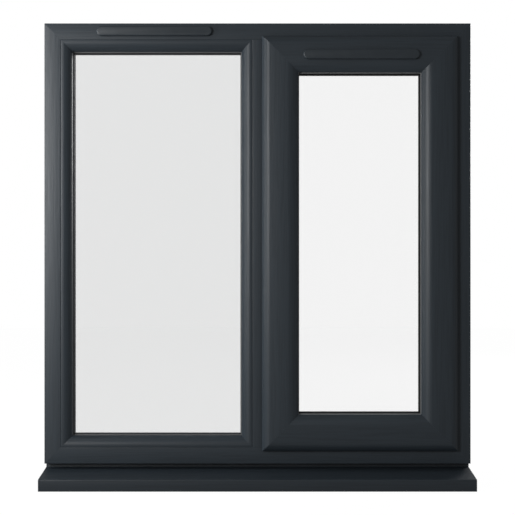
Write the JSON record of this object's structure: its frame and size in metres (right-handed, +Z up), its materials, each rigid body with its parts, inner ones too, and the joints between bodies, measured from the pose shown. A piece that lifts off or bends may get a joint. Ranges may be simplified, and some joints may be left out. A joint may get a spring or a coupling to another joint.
{
  "type": "casement window",
  "caption": "Two-light casement window: a fixed light beside a side-hung opening sash on friction stays, with trickle vents and a projecting sill.",
  "frame": {"origin": "on the sill's seating plane, midway along it, under the outdoor face of the frame", "axes": "+X to the right seen from outdoors, +Y into the room, +Z up"},
  "size_m": [0.905, 0.1643, 0.98],
  "materials": {
    "frame_foil": "embossed woodgrain foil",
    "sash_foil": "embossed woodgrain foil",
    "sill_foil": "embossed woodgrain foil",
    "cap_plastic": "satin",
    "vent_plastic": "satin",
    "seal": "matt",
    "spacer": "matt",
    "packer": "plain",
    "glass": "clear",
    "galvanised_steel": "galvanised",
    "screw": "zinc plated",
    "stay_steel": "brushed",
    "lock_steel": "zinc plated",
    "handle_paint": "satin powder coat"
  },
  "bodies": {
    "frame": {"fixed_bead_bottom": "frame_foil", "fixed_bead_left": "frame_foil", "fixed_bead_right": "frame_foil", "fixed_bead_top": "frame_foil", "fixed_glazing_packers": "packer", "fixed_inner_gasket": "seal", "fixed_inner_pane": "glass", "fixed_outer_gasket": "seal", "fixed_outer_pane": "glass", "fixed_spacer_bar": "spacer", "frame_bottom_rail": "frame_foil", "frame_head": "frame_foil", "frame_left_jamb": "frame_foil", "frame_reinforcement": "galvanised_steel", "frame_right_jamb": "frame_foil", "frame_screws": "screw", "lock_keeps": "lock_steel", "mullion": "frame_foil", "rebate_gasket": "seal", "sill": "sill_foil", "sill_end_caps": "cap_plastic", "stay_track_bottom": "stay_steel", "stay_track_top": "stay_steel", "vent_body_head": "vent_plastic", "vent_canopy_head": "vent_plastic"},
    "long_arm_top": {"stay_long_arm_top": "stay_steel"},
    "long_arm_bottom": {"stay_long_arm_bottom": "stay_steel"},
    "short_arm_top": {"stay_short_arm_top": "stay_steel"},
    "short_arm_bottom": {"stay_short_arm_bottom": "stay_steel"},
    "lock_bar": {"lock_drive_bar": "lock_steel", "lock_cams": "lock_steel"},
    "handle": {"handle_lever": "handle_paint", "handle_spindle": "lock_steel", "lock_pinion": "lock_steel", "handle_barrel": "lock_steel"},
    "handle_button": {"handle_button": "handle_paint"},
    "vent_flap_head": {"vent_flap_head": "vent_plastic"},
    "vent_flap_sash": {"vent_flap_sash": "vent_plastic"},
    "sash": {"handle_base": "handle_paint", "lock_faceplate": "lock_steel", "lock_gear_case": "lock_steel", "sash_beads_level": "sash_foil", "sash_beads_upright": "sash_foil", "sash_bottom_rail": "sash_foil", "sash_glazing_packers": "packer", "sash_hinge_stile": "sash_foil", "sash_inner_gasket": "seal", "sash_inner_pane": "glass", "sash_lock_stile": "sash_foil", "sash_outer_gasket": "seal", "sash_outer_pane": "glass", "sash_reinforcement": "galvanised_steel", "sash_screws": "screw", "sash_spacer_bar": "spacer", "sash_top_rail": "sash_foil", "sash_weather_gasket": "seal", "stay_sash_plate_bottom": "stay_steel", "stay_sash_plate_top": "stay_steel", "vent_body_sash": "vent_plastic", "vent_canopy_sash": "vent_plastic"}
  },
  "joints": [
    {"name": "sash_opening", "type": "hinge", "parent": "long_arm_top", "child": "sash", "pos_m": [0.31079, 0.01186, 0.4975], "axis": [0, 0, 1], "range_deg": [0, 130]},
    {"name": "long_arm_top_turn", "type": "hinge", "parent": "frame", "child": "long_arm_top", "pos_m": [0.16963, 0.02, 0.922], "axis": [0, 0, -1], "range_deg": [0, 65]},
    {"name": "long_arm_bottom_turn", "type": "hinge", "parent": "frame", "child": "long_arm_bottom", "pos_m": [0.16963, 0.02, 0.073], "axis": [0, 0, -1], "range_deg": [0, 65]},
    {"name": "short_arm_top_turn", "type": "hinge", "parent": "sash", "child": "short_arm_top", "pos_m": [0.4008, 0.00367, 0.922], "axis": [0, 0, -1], "range_deg": [0, 130]},
    {"name": "short_arm_bottom_turn", "type": "hinge", "parent": "sash", "child": "short_arm_bottom", "pos_m": [0.4008, 0.00367, 0.073], "axis": [0, 0, -1], "range_deg": [0, 130]},
    {"name": "handle_turn", "type": "hinge", "parent": "sash", "child": "handle", "pos_m": [0.052, 0.058, 0.4975], "axis": [0, -1, 0], "range_deg": [0, 90]},
    {"name": "lock_bar_slide", "type": "slide", "parent": "sash", "child": "lock_bar", "axis": [0, 0, -1], "range_m": [0, 0.01297]},
    {"name": "handle_button_press", "type": "slide", "parent": "handle", "child": "handle_button", "axis": [0, -1, 0], "range_m": [0, 0.0025], "stiffness_N_per_m": 300, "springref_m": -0.002},
    {"name": "vent_flap_head_tilt", "type": "hinge", "parent": "frame", "child": "vent_flap_head", "pos_m": [-0.219, 0.0798, 0.9417], "axis": [-1, 0, 0], "range_deg": [0, 50]},
    {"name": "vent_flap_sash_tilt", "type": "hinge", "parent": "sash", "child": "vent_flap_sash", "pos_m": [0.219, 0.0578, 0.8897], "axis": [-1, 0, 0], "range_deg": [0, 50]}
  ],
  "couplings": [
    {"joint": "long_arm_top_turn", "follows": "sash_opening", "ratio": 0.5},
    {"joint": "long_arm_bottom_turn", "follows": "sash_opening", "ratio": 0.5},
    {"joint": "short_arm_top_turn", "follows": "sash_opening", "ratio": 1},
    {"joint": "short_arm_bottom_turn", "follows": "sash_opening", "ratio": 1},
    {"joint": "lock_bar_slide", "follows": "handle_turn", "m_per_rad": 0.00825}
  ]
}
